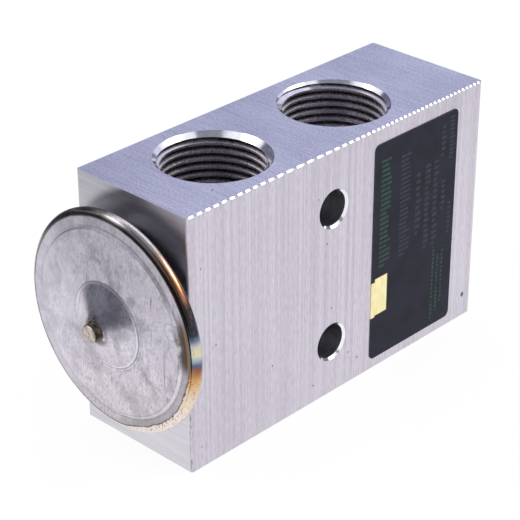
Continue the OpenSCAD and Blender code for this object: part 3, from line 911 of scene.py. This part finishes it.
def pressed_lines(f, colour, step):
    """Lines that the press left round the face and the foot of the cone, and the two stamp marks, with
    painted shade along the upper side of the pressed step and a painted highlight along its lower side.
    """
    flange = f.radius.between(17.2 * MM, 17.35 * MM) * (0.2 + 0.3 * sector(f.turn, -80, 5, 10))
    colour = f.mix(flange, colour, (0.3, 0.28, 0.29))
    colour = f.mix(ring(f.radius, 17.25, 0.05, 0.12) * 0.45, colour, DARK_LINE)
    lower = 1 - sector(f.turn, 28, 179, 12)
    # Painted shade on the step's upper side, then a painted highlight on its lower side
    colour = f.mix(step * (1 - lower) * 0.5, colour, (0.16, 0.15, 0.165))
    colour = f.mix(step * lower * 0.5, colour, PALE_LINE)
    colour = f.mix(ring(f.radius, 16.5, 0.03, 0.1) * lower * 0.3, colour, FAINT_LINE)
    colour = f.mix(ring(f.radius, 7.75, 0.04, 0.12) * 0.5, colour, DARK_LINE)
    colour = f.mix(ring(f.radius, 7.45, 0.06, 0.1) * 0.6, colour, PALE_LINE)
    foot = ring(f.radius, 8.25, 0.03, 0.1) * sector(f.turn, -70, -10, 10)
    colour = f.mix(foot * 0.4, colour, FAINT_LINE)
    for across, up in STAMPS:
        away = ((f.y - across * MM) ** 2 + (f.height - up * MM) ** 2) ** 0.5
        colour = f.mix(ring(away, 1.5, 0.04, 0.12) * 0.35, colour, FAINT_LINE)
    return colour


def burnt_face(f, colour):
    """The face scorched round the plug, paler towards the back, and stained by the rim's weld in front."""
    ragged = f.radius + (f.noise(700, detail=3.0) - 0.5) * (0.5 * MM)
    scorch = (1 - ragged.between(2.1 * MM, 3.3 * MM)) * f.mottle.between(0.42, 0.58)
    colour = f.mix(scorch * 0.85, colour, (0.09, 0.075, 0.06))
    back = f.y.between(3 * MM, 15 * MM)
    colour = f.mix(back * 0.35, colour, (0.9, 0.87, 1.0))
    spread = f.radius + (f.mottle - 0.5) * (4 * MM)
    blot = sector(f.turn, -5, 19, 6) * spread.between(16 * MM, 17.4 * MM)
    colour = f.mix(blot * 0.85, colour, (0.085, 0.07, 0.045))
    heat = sector(f.turn, -4, 23, 4) * ragged.between(17.1 * MM, 17.9 * MM)
    stain = f.ramp(
        (f.radius - 16.9 * MM) / (2.3 * MM),
        [(0.0, (0.11, 0.09, 0.075)), (0.45, (0.07, 0.055, 0.042)), (0.72, (0.36, 0.17, 0.06)),
         (0.86, (0.13, 0.24, 0.36)), (1.0, (0.2, 0.36, 0.46))],
    )
    return f.mix(heat * (0.7 + 0.3 * f.mottle), colour, stain)


def heated_rim(f, reach):
    """Heat tint of the rolled rim with painted highlights and painted dark reflections from its ramp, burnt
    in specks at the front, and a painted black reflection band on its front over its upper part.
    """
    sweep = f.turn + (f.noise(260, detail=2.0) - 0.5) * 0.12
    tint = f.ramp(sweep / math.tau + 0.5, RIM_TINT)
    tint = f.mix(f.fine.between(0.4, 0.75) * 0.35, tint, (0.3, 0.26, 0.22))
    burnt = f.noise(1500, detail=3.0, rough=0.6).between(0.57, 0.63) * sector(f.turn, -66, -3, 6)
    tint = f.mix(burnt * (1 - reach.between(19.3 * MM, 20 * MM) * 0.6), tint, (0.24, 0.13, 0.07))
    # Painted dark reflection: a black band on the front of the rim over its upper part, where it mirrors
    # the dark room
    scale = (HEAD_END - f.x).between(4.72 * MM, 4.92 * MM) * sector(f.turn, 16, 84, 8)
    return f.mix(scale * 0.92, tint, (0.025, 0.022, 0.024))


def wiped_cone(f, colour, cone):
    """The cone lighter in a patch above its plug, and darker towards its bottom."""
    wiped = 1 - ((f.y - 0.6 * MM) ** 2 + (f.height - 5.2 * MM) ** 2).between(0, (2.4 * MM) ** 2)
    colour = f.mix(wiped * cone * 0.5, colour, (0.93, 0.9, 1.0))
    return f.mix(cone * (1 - f.height.between(-4 * MM, 2 * MM)) * 0.2, colour, (0.4, 0.38, 0.42))


def weld_plug():
    """Cut end of the charging tube, welded into the top of the cone."""
    bead = 0.35 * MM
    foot = CONE_TOP - 1.2 * MM
    outline = [
        (0, foot), (PLUG_HOLE_R, foot), (PLUG_HOLE_R, CONE_TOP),
        (PLUG_R + bead, CONE_TOP), (PLUG_R + 0.1 * MM, CONE_TOP + 0.5 * bead), (PLUG_R, CONE_TOP + bead),
        (PLUG_R, PLUG_TOP - 0.15 * MM), (PLUG_R - 0.15 * MM, PLUG_TOP), (0, PLUG_TOP - 0.05 * MM),
    ]
    bm = spun([(r, 0, u) for r, u in outline], 48)
    on_head(bm)
    piece = new_piece("weld_plug", bm, [plug_steel()], "block", "charge_plug")
    soften(piece, 35)


def plug_steel():
    """Cut steel end with a burnt side."""
    f = Finish("plug_steel")
    cloud = f.noise(900, detail=4.0)
    out = HEAD_END - f.x
    end = out.between(PLUG_TOP - 0.3 * MM, PLUG_TOP - 0.1 * MM)
    burnt = f.mix(cloud.between(0.3, 0.7), (0.04, 0.034, 0.028), (0.2, 0.16, 0.115))
    cut = f.mix(cloud.between(0.35, 0.65), (0.36, 0.29, 0.24), (0.74, 0.66, 0.61))
    return f.skin(
        Base_Color=f.mix(end, burnt, cut),
        Metallic=1.0,
        Roughness=0.35 + 0.2 * cloud,
        Normal=f.bump(cloud, 0.00008),
    )


def face_label():
    """Printed foil label with round corners."""
    left, low, width, height = LABEL
    middle = (left + width / 2, FRONT - LABEL_SHEET / 2, low + height / 2)
    bm = box((width, LABEL_SHEET, height), middle)
    corners = [e for e in bm.edges if abs(e.verts[0].co.y - e.verts[1].co.y) > LABEL_SHEET / 2]
    bevel_edges(bm, corners, LABEL_CORNER, 8)
    bmesh.ops.recalc_face_normals(bm, faces=bm.faces)
    piece = new_piece("face_label", bm, [label_foil()], "block", "label")
    soften(piece, 40)


def box_mask(f, x0, x1, z0, z1):
    """1 inside an upright rectangle on the label, which is given from the head end in millimetres."""
    soft = 0.1 * MM
    left = HEAD_END + x0 * MM
    right = HEAD_END + x1 * MM
    across = f.x.between(left - soft, left + soft) * (1 - f.x.between(right - soft, right + soft))
    along = f.z.between(z0 * MM - soft, z0 * MM + soft) * (1 - f.z.between(z1 * MM - soft, z1 * MM + soft))
    return across * along


def print_column(f, x0, x1, z0, z1, pitch, share):
    """A column of plain printed bars of mixed lengths, given from the head end in millimetres."""
    rows = (f.z - z0 * MM) / (pitch * MM)
    step = rows.part()
    scatter = ((rows - step) * 12.9898).wave() * 437.585
    reach = (HEAD_END + x0 * MM) + ((x1 - x0) * MM) * (0.5 + 0.5 * scatter.part())
    bars = step.between(0.0, 0.12) * (1 - step.between(share, share + 0.12))
    length = 1 - (f.x - reach).between(0.0, 0.1 * MM)
    return box_mask(f, x0, x1, z0, z1) * bars * length


def label_foil():
    """Near-black foil with plain printed bars and a yellow patch."""
    f = Finish("label_foil")
    cloud = f.noise(220, detail=3.0)
    fine = f.noise(4000, detail=2.0)
    tone = cloud * 0.7 + fine * 0.3
    colour = f.mix(tone.between(0.35, 0.65), (0.005, 0.006, 0.016), (0.013, 0.014, 0.029))
    worn = 0.55 + 0.45 * f.noise(1400, detail=3.0).between(0.35, 0.6)
    for bar in GREEN_PRINT:
        colour = f.mix(print_column(f, *bar) * worn, colour, (0.025, 0.078, 0.05))
    for bar in GREY_PRINT:
        colour = f.mix(print_column(f, *bar) * worn * 0.45, colour, (0.07, 0.07, 0.105))
    near, far = YELLOW_PATCH
    patch = box_mask(f, *near).most(box_mask(f, *far))
    yellow = f.mix(f.noise(1200, (1, 1, 0.4)).between(0.35, 0.65), (0.95, 0.84, 0.42), (1.0, 0.93, 0.56))
    colour = f.mix(patch, colour, yellow)
    border = 1 - box_mask(f, *LABEL_FIELD)
    colour = f.mix(border * (1 - patch) * 0.5, colour, (0.05, 0.05, 0.07))
    return f.skin(
        Base_Color=colour,
        Roughness=0.42 + 0.12 * cloud,
        Specular_IOR_Level=0.16,
        Normal=f.bump(cloud * 0.6 + fine * 0.4, 0.00002),
    )


def solid_copy(node):
    """The mesh of a CAD node as one closed skin."""
    bm = bmesh.new()
    bm.from_mesh(node.data)
    bmesh.ops.remove_doubles(bm, verts=bm.verts, dist=SAME_POINT)
    bmesh.ops.recalc_face_normals(bm, faces=bm.faces)
    return bm


def flexing_diaphragm(nodes, finish):
    """The diaphragm as a closed copy of its CAD node, attached to the block."""
    bm = solid_copy(nodes["diaphragm"])
    piece = new_piece("flexing_diaphragm", bm, [finish], "block", "diaphragm")
    soften(piece, 40)
    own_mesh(piece)


def coil_spring(nodes, finish):
    """The superheat spring as a closed copy of its CAD node, with its place baked into its points."""
    bm = solid_copy(nodes["superheat_spring"])
    piece = new_piece("coil_spring", bm, [finish], None, "superheat_spring")
    soften(piece, 60)
    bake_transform(piece)


def add_camera():
    """The camera, where the fit to the block's corners, ports, holes and rim put it."""
    camera = add_object("camera", bpy.data.cameras.new("camera"))
    forward = Vector(EYE_FORWARD).normalized()
    right = Vector(EYE_RIGHT).normalized()
    up = right.cross(forward).normalized()
    right = forward.cross(up).normalized()
    turn = Matrix((right, up, -forward)).transposed().to_4x4()
    camera.matrix_world = Matrix.Translation(EYE) @ turn
    camera.data.sensor_width = 36
    camera.data.lens = LENS
    camera.data.clip_start = 0.01
    camera.data.clip_end = 20
    bpy.context.scene.camera = camera


def add_lamp(name, azimuth, elevation, distance, width, height, power):
    """A soft area lamp that looks at the middle of the valve."""
    lamp = bpy.data.lights.new(name, "AREA")
    lamp.shape = "RECTANGLE"
    lamp.size = width
    lamp.size_y = height
    lamp.energy = power
    stand = add_object(name, lamp)
    a, e = math.radians(azimuth), math.radians(elevation)
    way = Vector((math.cos(a) * math.cos(e), math.sin(a) * math.cos(e), math.sin(e)))
    stand.location = way * distance + Vector((0, 0, BLOCK_HEIGHT / 2))
    stand.rotation_euler = way.to_track_quat("Z", "Y").to_euler()


def add_card(name, azimuths, elevations, distance, colour):
    """A curved card that only reflections see; it dims them as the unlit part of a room does."""
    steps = 8
    low, high = elevations
    arc = []
    for step in range(steps + 1):
        rise = math.radians(low + (high - low) * step / steps)
        arc.append((distance * math.cos(rise), 0, distance * math.sin(rise)))
    bm = bmesh.new()
    line = chain(bm, arc)
    start, end = (math.radians(azimuth) for azimuth in azimuths)
    bmesh.ops.rotate(bm, cent=(0, 0, 0), matrix=Matrix.Rotation(start, 3, "Z"), verts=bm.verts)
    bmesh.ops.spin(
        bm, geom=line, cent=(0, 0, 0), axis=(0, 0, 1), angle=end - start, steps=16, use_merge=False
    )
    card = add_mesh(name, bm)
    paper, nodes = plain_material(name + "_paper")
    glow = nodes.add("ShaderNodeEmission", {}, {"Color": colour})
    nodes.add("ShaderNodeOutputMaterial", {}, {"Surface": glow.outputs[0]})
    card.data.materials.append(paper)
    card.visible_camera = False
    card.visible_diffuse = False
    card.visible_transmission = False
    card.visible_shadow = False


def plain_material(name):
    """A material with nothing in it yet, and its nodes."""
    material = bpy.data.materials.new(name)
    material.use_nodes = True
    nodes = Nodes(material.node_tree)
    nodes.tree.nodes.clear()
    return material, nodes


def add_world():
    """White to the camera and in metal, and a soft even light on everything."""
    world = bpy.data.worlds.new("studio")
    bpy.context.scene.world = world
    world.use_nodes = True
    nodes = Nodes(world.node_tree)
    back = nodes.tree.nodes["Background"]
    nodes.feed(back.inputs["Color"], (1, 1, 1))
    nodes.feed(back.inputs["Strength"], ROOM_LEVEL + (1 - ROOM_LEVEL) * nodes.seen_rays())


def add_floor():
    """A white table that keeps a faint shadow."""
    bm = bmesh.new()
    bmesh.ops.create_circle(bm, cap_ends=True, segments=96, radius=1.5)
    bmesh.ops.translate(bm, vec=(0, 0, -FLOOR_DROP), verts=bm.verts)
    table = add_mesh("table", bm)
    white, nodes = plain_material("white_table")
    paper = nodes.add("ShaderNodeBsdfDiffuse", {}, {"Color": (0.8, 0.8, 0.8)})
    glow = nodes.add("ShaderNodeEmission", {}, {"Strength": FLOOR_GLOW})
    share = nodes.seen_rays() * FLOOR_WHITE
    both = nodes.add("ShaderNodeMixShader", {}, {0: share, 1: paper.outputs[0], 2: glow.outputs[0]})
    nodes.add("ShaderNodeOutputMaterial", {}, {"Surface": both.outputs[0]})
    table.data.materials.append(white)


def dress_inside(nodes):
    """Finishes for the pieces inside, and copies of the diaphragm and the spring."""
    spring = small_metal("spring_stainless", (0.5, 0.5, 0.52), (0.7, 0.7, 0.72), 0.25)
    turned = small_metal("turned_steel", (0.42, 0.42, 0.44), (0.62, 0.62, 0.64), 0.28)
    # Painted shade: the inner cover is coloured dark like the shadowed gap between the cover and the
    # block's end
    dish = small_metal("inner_stainless_painted_shade", (0.15, 0.15, 0.17), (0.28, 0.28, 0.31), 0.3)
    brass = small_metal("screw_brass", (0.5, 0.36, 0.16), (0.72, 0.55, 0.28), 0.25)
    ball = small_metal("ball_steel", (0.6, 0.6, 0.62), (0.75, 0.75, 0.77), 0.06)
    rubber = seal_rubber()
    flexing_diaphragm(nodes, spring)
    coil_spring(nodes, spring)
    finishes = {
        "inner_cover": dish, "threaded_neck": turned, "neck_seal_ring": rubber,
        "stop_plate": turned, "sensing_rod": turned, "rod_seal_ring": rubber, "seal_retainer": spring,
        "push_pin": turned, "valve_seat": turned, "valve_ball": ball, "ball_carrier": brass,
        "damping_clip": spring, "adjusting_screw": brass, "screw_seal_ring": rubber,
    }
    for name, finish in finishes.items():
        mesh = nodes[name].data
        mesh.materials.clear()
        mesh.materials.append(finish)


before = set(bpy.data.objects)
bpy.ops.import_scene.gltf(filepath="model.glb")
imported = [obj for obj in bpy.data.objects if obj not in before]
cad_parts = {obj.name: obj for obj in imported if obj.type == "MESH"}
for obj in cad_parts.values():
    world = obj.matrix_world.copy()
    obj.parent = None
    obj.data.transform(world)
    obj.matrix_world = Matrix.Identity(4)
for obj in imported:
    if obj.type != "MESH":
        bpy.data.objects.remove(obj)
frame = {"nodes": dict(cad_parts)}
bpy.context.scene.view_settings.view_transform = "Standard"
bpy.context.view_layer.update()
add_camera()
add_world()
add_floor()
for lamp in LAMPS:
    add_lamp(*lamp)
for card in CARDS:
    add_card(*card)
tapped_block()
rolled_cover()
weld_plug()
face_label()
dress_inside(frame["nodes"])
